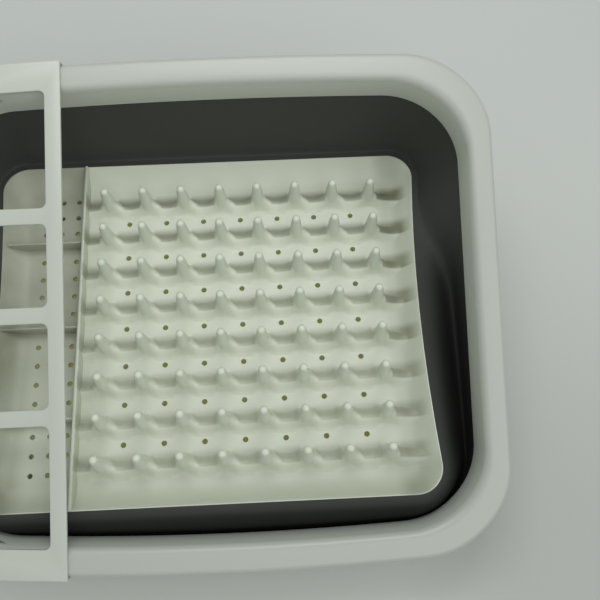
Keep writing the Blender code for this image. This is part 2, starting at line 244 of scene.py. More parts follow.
def facesOut(piece, merge=0.000002):
    editAll(piece)
    bpy.ops.mesh.remove_doubles(threshold=merge)
    bpy.ops.mesh.normals_make_consistent(inside=False)
    objectMode()


def softShade(piece, degrees=40):
    pick(piece)
    bpy.ops.object.shade_smooth_by_angle(angle=math.radians(degrees))


def dress(piece, paint, body=None, stands=()):
    piece.data.materials.clear()
    piece.data.materials.append(paint)
    if body:
        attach(piece, body)
    if stands:
        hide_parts(*stands)


# A square of 2 x 2 with corners rounded by 0.5, drawn up level by level. Each point goes to its
# own outline and height afterwards
def drawLevels(name, count, steps, splits=8, sides=0):
    freshStart()
    bpy.ops.mesh.primitive_plane_add(size=2)
    shell = bpy.context.object
    shell.name = name
    editAll(shell)
    bpy.ops.mesh.bevel(offset_type="OFFSET", offset=0.5, segments=steps, affect="VERTICES", profile=0.5)
    bpy.ops.mesh.delete(type="ONLY_FACE")
    for step in range(1, splits):
        bpy.ops.mesh.select_all(action="SELECT")
        bpy.ops.mesh.bisect(plane_co=(0, step / splits - 0.5, 0), plane_no=(0, 1, 0))
    for step in range(1, sides):
        bpy.ops.mesh.select_all(action="SELECT")
        bpy.ops.mesh.bisect(plane_co=(step / sides - 0.5, 0, 0), plane_no=(1, 0, 0))
    bpy.ops.mesh.select_all(action="SELECT")
    for level in range(count - 1):
        raiseFaces(1)
    objectMode()
    return shell


# From the drawn square to a real side: up to 0.5 lies its straight part, beyond that its corner
def alongSide(value, half, radius):
    straight = half - radius
    if abs(value) <= 0.5:
        return value * 2 * straight
    return math.copysign(straight + radius * (abs(value) * 2 - 1), value)


# The short sides may be bowed: inward is how far their middle lies inside
def outlinePoint(x, y, halfLength, halfWidth, radius, inward=0.0):
    wide = alongSide(x, halfLength, radius)
    deep = alongSide(y, halfWidth, radius)
    share = min(1, abs(deep) / (halfWidth - radius))
    return wide - math.copysign(inward * (1 - share * share), wide), deep


# Each ring is a half length, a half width, a corner radius and a height.
# The rings close to a channel, or else the first and the last are filled with a face
def loft(name, rings, filled=False, inward=0.0, steps=10, sides=0):
    levels = rings if filled else rings + rings[:1]
    shell = drawLevels(name, len(levels), steps, sides=sides)
    if filled:
        for level in (0, len(levels) - 1):
            fillLevel(shell, level)
    for vertex in shell.data.vertices:
        halfLength, halfWidth, radius, height = levels[round(vertex.co.z)]
        place = outlinePoint(vertex.co.x, vertex.co.y, halfLength, halfWidth, radius, inward)
        vertex.co = (*place, height)
    return shell


def fillLevel(shell, level):
    pick(shell)
    mesh = shell.data
    for face in mesh.polygons:
        face.select = False
    for vertex in mesh.vertices:
        vertex.select = abs(vertex.co.z - level) < 0.1
    for edge in mesh.edges:
        edge.select = all(mesh.vertices[v].select for v in edge.vertices)
    bpy.context.tool_settings.mesh_select_mode = (False, True, False)
    bpy.ops.object.mode_set(mode="EDIT")
    bpy.ops.mesh.edge_face_add()
    objectMode()


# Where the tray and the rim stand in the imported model. Its solids keep a gap to each other
stand = {"gap": 0.0003, "tilt": 16.8, "forward": 0.0092, "rise": 0.0547976, "bow": 0.0043}

trayLow, trayHigh = (Vector(c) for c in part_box("base_tray"))
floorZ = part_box("peg_row_1")[0][2] - stand["gap"]
trayCentre = Vector(((trayLow.x + trayHigh.x) / 2, (trayLow.y + trayHigh.y) / 2, floorZ))
trayHalf = Vector(((trayHigh.x - trayLow.x) / 2, (trayHigh.y - trayLow.y) / 2))
edgeHeight = trayHigh.z - floorZ
rimTilt = math.radians(stand["tilt"])
rimCentre = trayCentre + Vector((0, -stand["forward"], stand["rise"]))
rimPlace = Matrix.Translation(rimCentre) @ Matrix.Rotation(rimTilt, 4, "X")


# The grid on which pegs and holes stand, from the tray's centre. The bay has its own columns
lattice = {"x": 0.0207, "pitch": 0.0255, "pegs": 8, "holesEachWay": 3, "bayShift": 0.0010,
           "bayColumns": (-0.0913, -0.1021, -0.1129),
           "bayRows": (0.0112, 0.02377, 0.03633, 0.0489, 0.0699, 0.0820, 0.0941)}
firstPeg = lattice["x"] - (lattice["pegs"] - 1) / 2 * lattice["pitch"]


# Painted shade between the pegs, on and behind the ridges. The first six are in metres from a ridge or a
# peg, rightEnd is in metres from the tray's centre, and the others count columns or rows from the first peg
pegShade = {"near": (-0.0042, -0.0028), "far": (0.0095, 0.0030), "peg": (0.0030, 0.0060),
          "next": (0.0030, 0.0055), "slant": 0.005, "slanted": (0.006, -0.004),
          "pastLast": (7.20, 7.26), "beforeFirst": (0.0, -0.01), "leftPart": (-0.16, -0.28),
          "firstRow": (-0.02, 0.0), "lastRow": (8.02, 8.0),
          "rightEnd": (0.1385, 0.130), "leftEnd": (-0.63, -0.56)}


# Share of painted shade between the pegs, from 0 to 1
def pegShadeMask(paint, x, y):
    pitch = lattice["pitch"]
    column = (x - firstPeg) / pitch
    row = y / pitch + lattice["pegs"] / 2
    u = paint.maths("FRACT", paint.maths("ABSOLUTE", column)) * pitch
    v = (paint.maths("FRACT", row) - 0.5) * pitch
    band = paint.fade(v, *pegShade["near"]) * paint.fade(v, *pegShade["far"])
    slant = paint.fade(v, *pegShade["slanted"]) * pegShade["slant"]
    gaps = paint.fade(u - slant, *pegShade["peg"])
    gaps = gaps * paint.fade(u, *(pitch - distance for distance in pegShade["next"]))
    right = paint.fade(column, *pegShade["pastLast"])
    left = paint.fade(column, *pegShade["beforeFirst"])
    gaps = gaps * (1 - right) * (1 - left) + right + left * paint.fade(column, *pegShade["leftPart"])
    ends = paint.fade(row, *pegShade["firstRow"]) * paint.fade(row, *pegShade["lastRow"])
    sides = paint.fade(x, *pegShade["rightEnd"]) * paint.fade(column, *pegShade["leftEnd"])
    return band * gaps * ends * sides


# Colours, and where light and shade are painted on the tray, in metres from its centre: lighter pegs,
# lighter towards the far side, and painted shade between the pegs, in the coves, in the bay and at the front
trayLook = {"clouds": (24.0, 4.0), "patches": (55.0, 3.0), "grain": (900.0, 2.0), "bump": 0.05,
            "roughness": (0.36, 0.50), "patchShare": (0.75, 1.25), "falloffShare": 0.6,
            "toneAndFalloff": ((0.572, 0.612, 0.51, 1), (0.672, 0.71, 0.60, 1)), "paintedShade": (0.13, 0.14, 0.075, 1),
            "litPegs": (0.64, 0.685, 0.585, 1), "litPegsFrom": (0.0055, 0.0120), "falloffTo": (-0.10, 0.10),
            "paintedShadeFrom": (-0.0035, -0.0005), "rows": (0.372, 0.60), "rowsTo": (-0.06, 0.09),
            "cove": 0.28, "coveFrom": (0.111, 0.123), "coveTo": (0.1395, 0.128),
            "bay": (0.125, 0.50), "bayFrom": (-0.0835, -0.0855), "bayTo": (-0.05, 0.01),
            "leftCove": 0.42, "leftFrom": (-0.113, -0.130), "leftTo": (0.03, -0.03),
            "front": 0.20, "frontFrom": (-0.088, -0.100)}


def trayPlastic():
    paint, look = Paint("tray plastic"), trayLook
    x = paint.along("X", trayCentre.x)
    y = paint.along("Y", trayCentre.y)
    z = paint.along("Z", trayCentre.z)
    clouds = paint.noise(*look["clouds"])
    patches = between(look["patchShare"], paint.noise(*look["patches"]))
    grain = paint.noise(*look["grain"])
    # Painted light: the tray is lighter towards the far side, mixed with random clouds of tone
    falloffMix = between((clouds, paint.fade(y, *look["falloffTo"])), look["falloffShare"])
    toneAndFalloff = paint.blend(falloffMix, *look["toneAndFalloff"])
    # Painted light: the tray is lighter above its floor, on the pegs and the upper coves
    litPegs = paint.blend(paint.fade(z, *look["litPegsFrom"]), toneAndFalloff, look["litPegs"])
    # Painted shade in olive: between the pegs and darker in the far rows, on the right cove, in the bay
    # under the grid, and at the front
    rows = pegShadeMask(paint, x, y) * between(look["rows"], paint.fade(y, *look["rowsTo"]))
    cove = paint.fade(x, *look["coveFrom"]) * paint.fade(x, *look["coveTo"]) * look["cove"]
    bayFloor = paint.fade(x, *look["bayFrom"]) * between(look["bay"], paint.fade(y, *look["bayTo"]))
    leftCove = paint.fade(x, *look["leftFrom"]) * paint.fade(y, *look["leftTo"]) * look["leftCove"]
    front = paint.fade(y, *look["frontFrom"]) * look["front"]
    paintedShade = (rows + cove + bayFloor + leftCove + front) * patches * paint.fade(z, *look["paintedShadeFrom"])
    colour = paint.blend(paintedShade, litPegs, look["paintedShade"])
    return paint.finish(colour, between(look["roughness"], clouds), grain, look["bump"])


# Painted light: the rim is lighter below its top face, by the depth under that face
rimLook = {"clouds": (18.0, 3.0), "grain": (1100.0, 2.0), "bump": 0.03, "roughness": (0.26, 0.38),
           "first": (0.43, 0.46, 0.415), "second": (0.45, 0.48, 0.435), "undersideLight": 1.36,
           "undersideLightFrom": (0.0015, 0.0065), "gridLift": 1.12}


def lighter(colour, lift):
    return tuple(min(1, value * lift) for value in colour) + (1,)


def rimPlastic(name, lift):
    paint, look = Paint(name), rimLook
    clouds = paint.noise(*look["clouds"])
    grain = paint.noise(*look["grain"])
    y = paint.along("Y", rimCentre.y)
    z = paint.along("Z", rimCentre.z)
    below = y * math.sin(rimTilt) - z * math.cos(rimTilt)
    top = paint.blend(clouds, lighter(look["first"], lift), lighter(look["second"], lift))
    # Painted light on the faces below the rim's top
    colour = paint.blend(paint.fade(below, *look["undersideLightFrom"]), top,
                         lighter(look["second"], lift * look["undersideLight"]))
    return paint.finish(colour, between(look["roughness"], clouds), grain, look["bump"])


# Painted shade: the wall is dark below, at its right and at its front, deep in the fold under the rim
wallLook = {"clouds": (30.0, 4.0), "grain": (1500.0, 2.0), "bump": 0.15, "roughness": (0.66, 0.76),
            "light": ((0.032, 0.036, 0.032, 1), (0.042, 0.046, 0.040, 1)), "lightFrom": (0.034, 0.0535),
            "dark": (0.007, 0.008, 0.007, 1), "shade": 0.9, "rightFrom": (0.143, 0.156),
            "rightTo": (0.07, -0.03), "frontFrom": (-0.1205, -0.1240)}


def wallRubber():
    paint, look = Paint("wall rubber"), wallLook
    clouds = paint.noise(*look["clouds"])
    grain = paint.noise(*look["grain"])
    x, y = paint.along("X", trayCentre.x), paint.along("Y", trayCentre.y)
    # Painted shade where the wall lies deep in the fold, at the right and at the front
    right = paint.fade(x, *look["rightFrom"]) * paint.fade(y, *look["rightTo"])
    front = paint.fade(y, *look["frontFrom"])
    light = paint.fade(paint.along("Z"), *look["lightFrom"])
    light = light * (1 - look["shade"] * right) * (1 - look["shade"] * front)
    colour = paint.blend(light, look["dark"], paint.blend(clouds, *look["light"]))
    return paint.finish(colour, between(look["roughness"], clouds), grain, look["bump"])


footLook = {"grain": (1200.0, 2.0), "bump": 0.2, "roughness": 0.7,
            "colours": ((0.30, 0.31, 0.30, 1), (0.36, 0.37, 0.36, 1))}


def footRubber():
    paint = Paint("foot rubber")
    grain = paint.noise(*footLook["grain"])
    colour = paint.blend(grain, *footLook["colours"])
    return paint.finish(colour, footLook["roughness"], grain, footLook["bump"])


trayPaint, wallPaint, footPaint = trayPlastic(), wallRubber(), footRubber()
rimPaint, gridPaint = rimPlastic("rim plastic", 1.0), rimPlastic("grid plastic", rimLook["gridLift"])
print("materials made")


# Tray: one shell with a raised lip, a wide cove and drain holes
tray = {"corner": 0.017, "floorCorner": 0.009, "lip": 0.0007, "cove": 0.0161, "thick": 0.0022,
        "lipDrop": 0.007, "round": 0.0003, "innerRound": 0.00006, "steps": 10, "underSteps": 8,
        "deep": 0.75, "hole": 0.0018, "bayHole": 0.0017, "shade": 35}
pin = {"sides": 16, "depth": 0.008, "lower": 0.001}


# The cove's height over its width, both as a share: an arc that starts level
def coveRise(share):
    deep = tray["deep"]
    return (1 - math.sqrt(1 - (deep * share) ** 2)) / (1 - math.sqrt(1 - deep * deep))


def coveRings(grow, drop):
    reach = tray["lip"] + tray["cove"]
    rings = []
    for step in range(tray["steps"] + 1):
        along = step / tray["steps"]
        inset = reach - (tray["cove"] + grow) * along
        share = max(0, inset) / reach
        radius = tray["corner"] + (tray["floorCorner"] - tray["corner"]) * share
        height = (edgeHeight + drop) * coveRise(along) - drop
        rings.append((trayHalf.x - inset, trayHalf.y - inset, radius, height))
    return rings


# The underside has fewer rings, because it ends below the lip's foot
def makeTray():
    corner, ease, top, foot = tray["corner"], tray["round"], edgeHeight, edgeHeight - tray["lipDrop"]
    upper = coveRings(0, 0)
    lower = coveRings(tray["thick"], tray["thick"])[:tray["underSteps"]]
    edge = [(trayHalf.x - inset, trayHalf.y - inset, corner, height) for inset, height in (
        (tray["lip"] - tray["innerRound"], top - tray["innerRound"]), (ease, top),
        (ease * roundMiddle, top - ease * roundMiddle), (0, top - ease), (0, foot), (tray["lip"], foot))]
    shell = loft("tray", upper[:-1] + edge + lower[::-1], filled=True, inward=stand["bow"])
    moveMesh(shell, *trayCentre)
    facesOut(shell)
    cutWith(shell, makeDrainPins())
    softShade(shell, tray["shade"])
    dress(shell, trayPaint, "base", ("base_tray",))


def makeDrainPins():
    steps = range(-lattice["holesEachWay"], lattice["holesEachWay"] + 1)
    places = [(lattice["x"] + column * lattice["pitch"], row * lattice["pitch"], tray["hole"])
              for column in steps for row in steps]
    for column in lattice["bayColumns"]:
        for row in lattice["bayRows"]:
            places += [(column, lattice["bayShift"] + side * row, tray["bayHole"]) for side in (-1, 1)]
    pins = []
    for x, y, radius in places:
        freshStart()
        bpy.ops.mesh.primitive_cylinder_add(vertices=pin["sides"], radius=radius, depth=pin["depth"],
                                            location=trayCentre + Vector((x, y, -pin["lower"])))
        pins.append(bpy.context.object)
    joined = joinAll(pins, "drain pins")
    applyPlace(joined)
    return joined


makeTray()
print("tray made")


# Peg rows: one ridge with a crest that sags between eight pegs, remeshed so that all run together.
# A peg's profile is a list of height shares and radii
pegs = {"height": 0.0268, "sides": 20, "sink": 0.0020, "root": 0.0016, "under": 0.0009,
        "profile": ((0.0, 0.0056), (0.18, 0.004816), (0.45, 0.0041), (0.90, 0.002808),
                    (0.965, 0.002322), (1.0, 0.00108)),
        "crest": 0.0040, "rise": 0.0085, "riseWidth": 0.0034, "riseFall": 0.0026,
        "near": 0.0076, "far": 0.0064, "forward": 0.0024, "bendFrom": 0.003, "bend": 0.005,
        "left": -0.0842, "rightGap": 0.0022, "fade": 0.020, "cells": (260, 24), "voxel": 0.0006,
        "smoothing": 5, "stretchFrom": 0.118, "stretch": 0.006}


def coveHeight(x):
    out = x - (trayHalf.x - stand["bow"] - tray["lip"] - tray["cove"])
    return edgeHeight * coveRise(min(1, out / tray["cove"])) if out > 0 else 0.0


# The crest rises at each peg, and bends forward between two of them
def ridgeHeight(x, y):
    column = min(lattice["pegs"] - 1, max(0, round((x - firstPeg) / lattice["pitch"])))
    away = abs(x - firstPeg - column * lattice["pitch"])
    crest = pegs["crest"] + pegs["rise"] * math.exp(-max(0, away - pegs["riseWidth"]) / pegs["riseFall"])
    out = y + pegs["forward"] * unit((away - pegs["bendFrom"]) / pegs["bend"])
    return crest * smooth(1 - abs(out) / (pegs["near"] if out < 0 else pegs["far"]))


def makeRidge():
    left, right = pegs["left"], trayHalf.x - stand["bow"] - tray["lip"] - pegs["rightGap"]
    near, far = -pegs["near"] - pegs["forward"], pegs["far"]
    freshStart()
    across, deep = pegs["cells"]
    bpy.ops.mesh.primitive_grid_add(x_subdivisions=across, y_subdivisions=deep, size=2)
    ridge = bpy.context.object
    ridge.scale = ((right - left) / 2, (far - near) / 2, 1)
    ridge.location = ((left + right) / 2, (far + near) / 2, 0)
    applyPlace(ridge)
    for vertex in ridge.data.vertices:
        x, y = vertex.co.x, vertex.co.y
        height = (ridgeHeight(x, y) + pegs["under"]) * smooth((right - x) / pegs["fade"])
        vertex.co.z = coveHeight(x) - pegs["under"] + height
    editAll(ridge)
    bpy.ops.mesh.extrude_region_move()
    objectMode()
    for vertex in ridge.data.vertices:
        if vertex.select:
            vertex.co.z = coveHeight(vertex.co.x) - pegs["sink"]
    return ridge


def makePeg(x):
    profile = pegs["profile"]
    freshStart()
    bpy.ops.mesh.primitive_circle_add(vertices=pegs["sides"], radius=profile[0][1], fill_type="NGON",
                                      location=(x, 0, -pegs["root"]))
    peg = bpy.context.object
    applyPlace(peg)
    editAll(peg)
    for (low, wide), (high, narrow) in zip(profile, profile[1:]):
        raiseFaces((high - low) * pegs["height"] + (pegs["root"] if low == 0 else 0))
        bpy.ops.transform.resize(value=(narrow / wide, narrow / wide, 1), center_override=(x, 0, 0))
    objectMode()
    return peg


def makePegRow():
    parts = [makeRidge()]
    parts += [makePeg(firstPeg + column * lattice["pitch"]) for column in range(lattice["pegs"])]
    row = joinAll(parts, "peg row")
    facesOut(row)
    applyModifier(row, "REMESH", mode="VOXEL", voxel_size=pegs["voxel"])
    applyModifier(row, "SMOOTH", factor=0.5, iterations=pegs["smoothing"])
    pick(row)
    bpy.ops.object.shade_smooth()
    return row


# The tray's short side is bowed, so the outer rows are stretched at their right end
def placePegRows():
    first = makePegRow()
    for number in range(lattice["pegs"]):
        row = copyPiece(first, f"pegs_{number + 1}")
        y = ((lattice["pegs"] - 1) / 2 - number) * lattice["pitch"]
        share = min(1, abs(y) / (trayHalf.y - tray["corner"]))
        for vertex in row.data.vertices:
            past = vertex.co.x - pegs["stretchFrom"]
            if past > 0:
                vertex.co.x += stand["bow"] * share * share * min(1, past / pegs["stretch"])
        moveMesh(row, trayCentre.x, trayCentre.y + y, trayCentre.z)
        dress(row, trayPaint, "base", (f"peg_row_{number + 1}",))
    bpy.data.objects.remove(first, do_unlink=True)


placePegRows()
print("peg rows made")


# Divider and partitions: upright plates whose ends follow the cove, a little into it
bay = {"place": -0.0844, "thick": 0.0020, "height": 0.01275, "partitions": (0.0601, 0.0, -0.0601),
       "partitionThick": 0.0014, "partitionHeight": 0.0102, "into": 0.0010, "round": 0.0006,
       "steps": 12, "topMargin": 0.0004, "endGap": 0.0002}


def coveSection(flat, height):
    points = []
    reach = tray["cove"] + bay["into"]
    for step in range(bay["steps"] + 1):
        share = step / bay["steps"]
        rise = (edgeHeight + bay["into"]) * coveRise(share) - bay["into"]
        if rise < height - bay["topMargin"]:
            points.append((flat + reach * share - bay["endGap"], rise))
    points.append((points[-1][0], height))
    return points


# An upright plate from an outline of distances and heights, centred on its plane
def makePlate(name, outline, thick):
    freshStart()
    bpy.ops.mesh.primitive_circle_add(vertices=len(outline), radius=1, fill_type="NGON")
    plate = bpy.context.object
    plate.name = name
    for vertex, (distance, height) in zip(plate.data.vertices, outline):
        vertex.co = (distance, 0, height)
    editAll(plate)
    bpy.ops.mesh.extrude_region_move(TRANSFORM_OT_translate={"value": (0, thick, 0)})
    objectMode()
    moveMesh(plate, 0, -thick / 2, 0)
    facesOut(plate)
    roundEdges(plate, bay["round"])
    return plate


def makeBay():
    half = coveSection(trayHalf.y - tray["lip"] - tray["cove"], bay["height"])
    divider = makePlate("divider", half + [(-y, z) for y, z in half[::-1]], bay["thick"])
    divider.data.transform(Matrix.Rotation(math.pi / 2, 4, "Z"))
    moveMesh(divider, trayCentre.x + bay["place"], trayCentre.y, trayCentre.z)
    softShade(divider)
    dress(divider, trayPaint, "base", ("cutlery_divider",))
    left = coveSection(trayHalf.x - stand["bow"] - tray["lip"] - tray["cove"], bay["partitionHeight"])
    outline = [(-x, z) for x, z in left[::-1]]
    outline += [(bay["place"], -bay["into"]), (bay["place"], bay["partitionHeight"])]
    for number, y in enumerate(bay["partitions"]):
        plate = makePlate(f"bay_wall_{number + 1}", outline, bay["partitionThick"])
        moveMesh(plate, trayCentre.x, trayCentre.y + y, trayCentre.z)
        softShade(plate)
        dress(plate, trayPaint, "base", (f"partition_{number + 1}",))


makeBay()
print("cutlery bay made")


# Skirt and feet below the tray
skirt = {"setback": 0.0006, "taper": 0.0065, "wall": 0.0022, "foot": 0.0043, "round": 0.0008,
         "overlap": 0.0002, "flare": 0.0001, "innerDrop": 0.0015, "cornerShare": 0.8}
pad = {"height": 0.004, "width": 0.016, "depth": 0.008, "corner": 0.0035, "segments": 6,
       "round": 0.0008}


def makeSkirt():
    top = edgeHeight - tray["lipDrop"] + skirt["overlap"]
    foot, ease = skirt["foot"] - floorZ, skirt["round"]
    mid = ease * roundMiddle
    outer, inner = skirt["taper"], skirt["taper"] + skirt["wall"]
    section = ((skirt["setback"], top), (outer - skirt["flare"], foot + ease),
               (outer + mid, foot + mid), (outer + ease, foot), (inner - ease, foot),
               (inner - mid, foot + mid), (inner, foot + ease),
               (skirt["setback"] + skirt["wall"], top - skirt["innerDrop"]))
    rings = [(trayHalf.x - inset, trayHalf.y - inset,
              tray["corner"] - min(inset, skirt["taper"]) * skirt["cornerShare"], height)
             for inset, height in section]
    shell = loft("skirt", rings, inward=stand["bow"])
    moveMesh(shell, *trayCentre)
    facesOut(shell)
    softShade(shell)
    dress(shell, trayPaint, "base", ("base_skirt",))


def makeFeet():
    freshStart()
    bpy.ops.mesh.primitive_plane_add(size=2)
    block = bpy.context.object
    block.scale = (pad["width"] / 2, pad["depth"] / 2, 1)
    applyPlace(block)
    editAll(block)
    bpy.ops.mesh.bevel(offset_type="OFFSET", offset=pad["corner"], segments=pad["segments"],
                       affect="VERTICES", profile=0.5)
    bpy.ops.mesh.select_all(action="SELECT")
    raiseFaces(pad["height"])
    objectMode()
    facesOut(block)
    roundEdges(block, pad["round"])
    softShade(block)
    for number in range(4):
        foot = copyPiece(block, f"pad_{number + 1}")
        low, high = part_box(f"foot_{number + 1}")
        moveMesh(foot, (low[0] + high[0]) / 2, (low[1] + high[1]) / 2, 0)
        dress(foot, footPaint, "base", (f"foot_{number + 1}",))
    bpy.data.objects.remove(block, do_unlink=True)


makeSkirt()
makeFeet()
print("skirt and feet made")


# Rim: a channel that is open below, rounded at its outer edge and more gently at its inner one
rim = {"halfLength": 0.179, "halfWidth": 0.1543, "corner": 0.052, "innerCorner": 0.047,
       "front": 0.0172, "end": 0.0152, "depth": 0.0305, "skirt": 0.020, "wall": 0.0022,
       "outerRound": 0.0035, "innerRound": 0.0050, "fillet": 0.001, "ease": 0.0002,
       "steps": 28, "sides": 28, "shade": 50}


# The long sides are bowed: full width a little right of the middle, less towards the ends. The bow
# fades in from one distance from the middle line to another
sag = {"middle": 0.020, "near": 0.0083, "far": 0.0051, "from": 0.070, "to": 0.140}


def sideSag(x, y):
    fall = ((x - sag["middle"]) / rim["halfLength"]) ** 2 * (sag["near"] if y < 0 else sag["far"])
    weight = unit((abs(y) - sag["from"]) / (sag["to"] - sag["from"]))
    return y - math.copysign(fall * weight, y)


# The rim's outline that far inside its edge: half length, half width and corner radius
def rimOutline(inset):
    share = inset / rim["front"]
    radius = rim["corner"] + (rim["innerCorner"] - rim["corner"]) * share
    return rim["halfLength"] - share * rim["end"], rim["halfWidth"] - inset, radius


# A quarter round as insets and drops, from the outer face up to the top
def quarter(radius, steps=6):
    return [(radius * (1 - math.cos(a)), radius * (1 - math.sin(a)))
            for a in (step * math.pi / 2 / steps for step in range(steps + 1))]


# The section goes over the top to the inner face and back through the channel, in insets and drops
def makeRim():
    front, wide, edge, ease, fillet = rim["front"], rim["wall"], rim["skirt"], rim["ease"], rim["fillet"]
    section = [(ease, edge - ease), (0.0, edge - ease * 3)]
    section += quarter(rim["outerRound"])
    section += [(front / 2, 0.0)]
    section += [(front - inset, drop) for inset, drop in quarter(rim["innerRound"])[::-1]]
    section += [(front, rim["depth"]), (front - wide, rim["depth"]), (front - wide, wide + fillet),
                (front - wide - fillet, wide), (wide + fillet, wide), (wide, wide + fillet),
                (wide, edge - ease * 2), (wide - ease * 2, edge), (ease * 3, edge)]
    rings = [(*rimOutline(inset), -drop) for inset, drop in section]
    shell = loft("rim", rings, steps=rim["steps"], sides=rim["sides"])
    for vertex in shell.data.vertices:
        vertex.co.y = sideSag(vertex.co.x, vertex.co.y)
    shell.data.transform(rimPlace)
    facesOut(shell)
    softShade(shell, rim["shade"])
    dress(shell, rimPaint, "rim", ("rim_frame",))


makeRim()
print("rim made")


# Flexible wall: out over a soft shoulder, down to a fold that deepens towards the front, and up to
# the rim. Between begin and full, as shares of the way to the front, the fold opens
wall = {"thick": 0.0018, "shelf": 0.0054, "drop": 0.0396, "bend": 0.012, "leastBend": 0.6,
        "shoulder": 0.0085, "begin": 0.12, "full": 0.42, "reach": 0.6, "pull": 0.25,
        "overlap": 0.0004, "steps": 10, "around": 24, "shade": 60}


# The wall's section at one place on its way round: where it starts, its direction outwards, the
# four corners of its path, and how soft its bends are
def wallCorners(x, y):
    around = outlinePoint(x, y, trayHalf.x, trayHalf.y, tray["corner"], stand["bow"])
    edge = Vector((*around, edgeHeight - stand["gap"]))
    foot = outlinePoint(x, y, *rimOutline(rim["front"]))
    end = rimPlace @ Vector((foot[0], sideSag(*foot), wall["overlap"] - rim["depth"])) - trayCentre
    out = Vector((end.x - edge.x, end.y - edge.y, 0)).normalized()
    share = (trayHalf.y - edge.y) / (2 * trayHalf.y)
    last = Vector(((end - edge).dot(out), end.z))
    opened = smooth((share - wall["begin"]) / (wall["full"] - wall["begin"]))
    rise = (last.y - edge.z) * opened * (1 - opened) - wall["drop"] * share * opened
    fold = Vector((wall["shelf"] + (last.x - wall["shelf"]) * opened, edge.z + rise))
    knee = Vector((wall["shelf"] / 2 + (wall["shoulder"] - wall["shelf"] / 2) * opened, edge.z))
    least = wall["leastBend"]
    bend = wall["bend"] * (least + (1 - least) * min(1, share / wall["begin"]))
    return edge, out, (Vector((0, edge.z)), knee, fold, last), bend


# A point of the curve from a to c that b pulls on, and its outward direction
def curve(a, b, c, share):
    point = a * (1 - share) ** 2 + b * (2 * share * (1 - share)) + c * share ** 2
    along = ((b - a) * (1 - share) + (c - b) * share).normalized()
    return point, Vector((along.y, -along.x))


def towards(start, aim, distance):
    way = aim - start
    return start + way.normalized() * min(distance, way.length * wall["reach"])


# Points and outward directions from the tray's edge to the fold, and on to the rim's inner foot
def wallSection(x, y):
    edge, out, (first, knee, fold, last), bend = wallCorners(x, y)
    before, after = towards(fold, knee, bend), towards(fold, last, bend)
    shoulder = knee + (before - knee) * wall["pull"]
    steps = wall["steps"]
    path = [curve(first, shoulder, before, k / steps) for k in range(steps)]
    path += [curve(before, fold, after, k / steps) for k in range(steps)]
    path += [curve(after, after.lerp(last, 0.5), last, k / steps) for k in range(steps + 1)]
    return edge, out, path


# One piece of the wall, from one step of the path to another. It follows its first body at its own
# start and its second at its end, so its weights go by the steps and replace those along a line
def makeWall(name, first, last, bodies, axis, stands):
    count = last - first + 1
    shell = drawLevels(name, 2 * count + 1, wall["around"], wall["around"], wall["around"])
    cache, weights = {}, []
    for vertex in shell.data.vertices:
        x, y, level = vertex.co.x, vertex.co.y, round(vertex.co.z) % (2 * count)
        key = (round(x, 5), round(y, 5))
        if key not in cache:
            cache[key] = wallSection(x, y)
        edge, out, path = cache[key]
        step = level if level < count else 2 * count - 1 - level
        point, normal = path[first + step]
        if level >= count:
            point = point + normal * wall["thick"]
        weights.append(step / (count - 1))
        spot = Vector((edge.x, edge.y, 0)) + out * point.x
        vertex.co = trayCentre + Vector((spot.x, spot.y, point.y))
    mark = shell.data.attributes.new("follow", "FLOAT", "POINT")
    for item, weight in zip(mark.data, weights):
        item.value = weight
    facesOut(shell)
    softShade(shell, wall["shade"])
    dress(shell, wallPaint, None, stands)
    low, high = axis
    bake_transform(shell, *bodies, start=low, end=high)
    follow = [item.value for item in shell.data.attributes["follow"].data]
    for item, weight in zip(shell.data.attributes["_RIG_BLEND"].data, follow):
        item.value = weight


middle = wall["steps"] * 3 // 2
makeWall("fold_below", 0, middle, ("base", "wall"),
         ((0, -0.12, 0.03), (0, -0.10, 0.05)), ("lower_fold",))
makeWall("wall_above", middle, 3 * wall["steps"], ("wall", "rim"),
         ((0, 0, 0.03), (0, 0, 0.10)), ("upper_wall",))
print("wall made")


# Cutlery grid: a plate with four openings, hooked over the rim by a lip. Its right part is skewed
grid = {"clear": 0.0003, "thick": 0.0026, "right": -0.0826, "bars": (0.0601, 0.0012, -0.0588),
        "strut": 0.0096, "bar": 0.0097, "endBar": 0.0180, "leftBar": 0.0170,
        "lip": 0.0012, "lipDepth": 0.0080, "corner": 0.0038, "bigCorner": 0.032, "cutFrom": -0.004,
        "cutThick": 0.012, "round": 0.0007, "skew": 0.0096, "skewFrom": -0.12, "skewAbout": 0.12,
        "leastSegments": 6, "segmentsPerMetre": 700, "near": 0.0001, "flat": 0.01, "merge": 0.0000005}


# Radii are given for the corners by their signs in x and y
def roundedPlate(left, right, low, high, radii, bottom, thick):
    freshStart()
    bpy.ops.mesh.primitive_plane_add(size=2)
    plate = bpy.context.object
    plate.scale = ((right - left) / 2, (high - low) / 2, 1)
    plate.location = ((left + right) / 2, (low + high) / 2, bottom)
    applyPlace(plate)
    for (signX, signY), radius in radii.items():
        corner = (right if signX > 0 else left, high if signY > 0 else low)
        editAll(plate)
        bpy.ops.mesh.select_all(action="DESELECT")
        objectMode()
        for vertex in plate.data.vertices:
            away = math.hypot(vertex.co.x - corner[0], vertex.co.y - corner[1])
            vertex.select = away < grid["near"]
        segments = max(grid["leastSegments"], int(radius * grid["segmentsPerMetre"]))
        bpy.ops.object.mode_set(mode="EDIT")
        bpy.ops.mesh.bevel(offset_type="OFFSET", offset=radius, segments=segments,
                           affect="VERTICES", profile=0.5)
        objectMode()
    editAll(plate)
    raiseFaces(thick)
    objectMode()
    facesOut(plate)
    return plate


